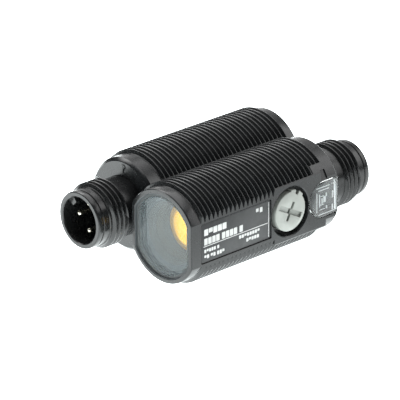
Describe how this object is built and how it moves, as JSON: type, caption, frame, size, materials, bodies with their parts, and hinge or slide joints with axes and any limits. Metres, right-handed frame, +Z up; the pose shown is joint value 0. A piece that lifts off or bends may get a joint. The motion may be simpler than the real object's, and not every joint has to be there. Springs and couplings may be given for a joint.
{
  "type": "photoelectric sensor",
  "caption": "Through-beam photoelectric sensor pair: threaded flat-sided barrels with front windows, a turning sensitivity dial and round threaded pin plugs.",
  "frame": {"origin": "centre of the pair's box, on the surface it lies on", "axes": "+Z up, +Y along both barrels, from the receiver's window to the receiver's plug; +X is the side of the receiver's label and adjuster"},
  "size_m": [0.0298, 0.0504, 0.018],
  "materials": {
    "housing": "satin black moulded plastic, fine grain",
    "front_window": "clear flat window, polished",
    "rubber": "black elastomer",
    "inner_black": "matt black",
    "circuit_board": "green solder mask",
    "board_parts": "black package",
    "flex": "amber polyimide film",
    "label": "dark grey printed plate",
    "indicator_window": "clear moulded, glossy",
    "light_guide": "clear moulded, frosted sides",
    "connector": "black moulded plastic",
    "pin_carrier": "matt black insert",
    "pins": "plated contact metal",
    "lead_wires": "tinned wire",
    "amber_lens": "amber moulded lens",
    "emitter_lens": "clear moulded lens",
    "shield": "plated sheet metal",
    "trimmer_case": "white ceramic and resin",
    "trimmer_rotor": "cream plastic",
    "indicator_lamp": "small lamp package",
    "emitter_led": "red tinted dome",
    "dial": "off-white moulded plastic"
  },
  "bodies": {
    "receiver": {"receiver_housing": "housing", "receiver_window": "front_window", "receiver_window_seal": "rubber", "receiver_lens_holder": "inner_black", "receiver_lens": "amber_lens", "receiver_shield_can": "shield", "receiver_photodiode": "board_parts", "receiver_optics_board": "circuit_board", "receiver_flex": "flex", "receiver_main_board": "circuit_board", "receiver_board_parts": "board_parts", "receiver_trimmer_body": "trimmer_case", "receiver_label": "label", "receiver_indicator_window": "indicator_window", "receiver_light_guide": "light_guide", "receiver_indicator_leds": "indicator_lamp", "receiver_connector_shell": "connector", "receiver_pin_carrier": "pin_carrier", "receiver_pins": "pins", "receiver_connector_seal": "rubber", "receiver_lead_wires": "lead_wires"},
    "adjuster": {"adjuster_dial": "dial", "adjuster_seal": "rubber", "trimmer_rotor": "trimmer_rotor"},
    "emitter": {"emitter_housing": "housing", "emitter_window": "front_window", "emitter_window_seal": "rubber", "emitter_lens_holder": "inner_black", "emitter_lens": "emitter_lens", "emitter_led": "emitter_led", "emitter_optics_board": "circuit_board", "emitter_flex": "flex", "emitter_main_board": "circuit_board", "emitter_board_parts": "board_parts", "emitter_label": "label", "emitter_indicator_window": "indicator_window", "emitter_light_guide": "light_guide", "emitter_indicator_led": "indicator_lamp", "emitter_connector_shell": "connector", "emitter_pin_carrier": "pin_carrier", "emitter_pins": "pins", "emitter_connector_seal": "rubber", "emitter_lead_wires": "lead_wires"}
  },
  "joints": [
    {"name": "adjuster_turn", "type": "hinge", "parent": "receiver", "child": "adjuster", "pos_m": [0.0135, 0.00335, 0.009], "axis": [1, 0, 0], "range_deg": [-90, 150]},
    {"name": "emitter_apart", "type": "slide", "parent": "receiver", "child": "emitter", "axis": [-1, 0, 0], "range_m": [0, 0.1]}
  ]
}
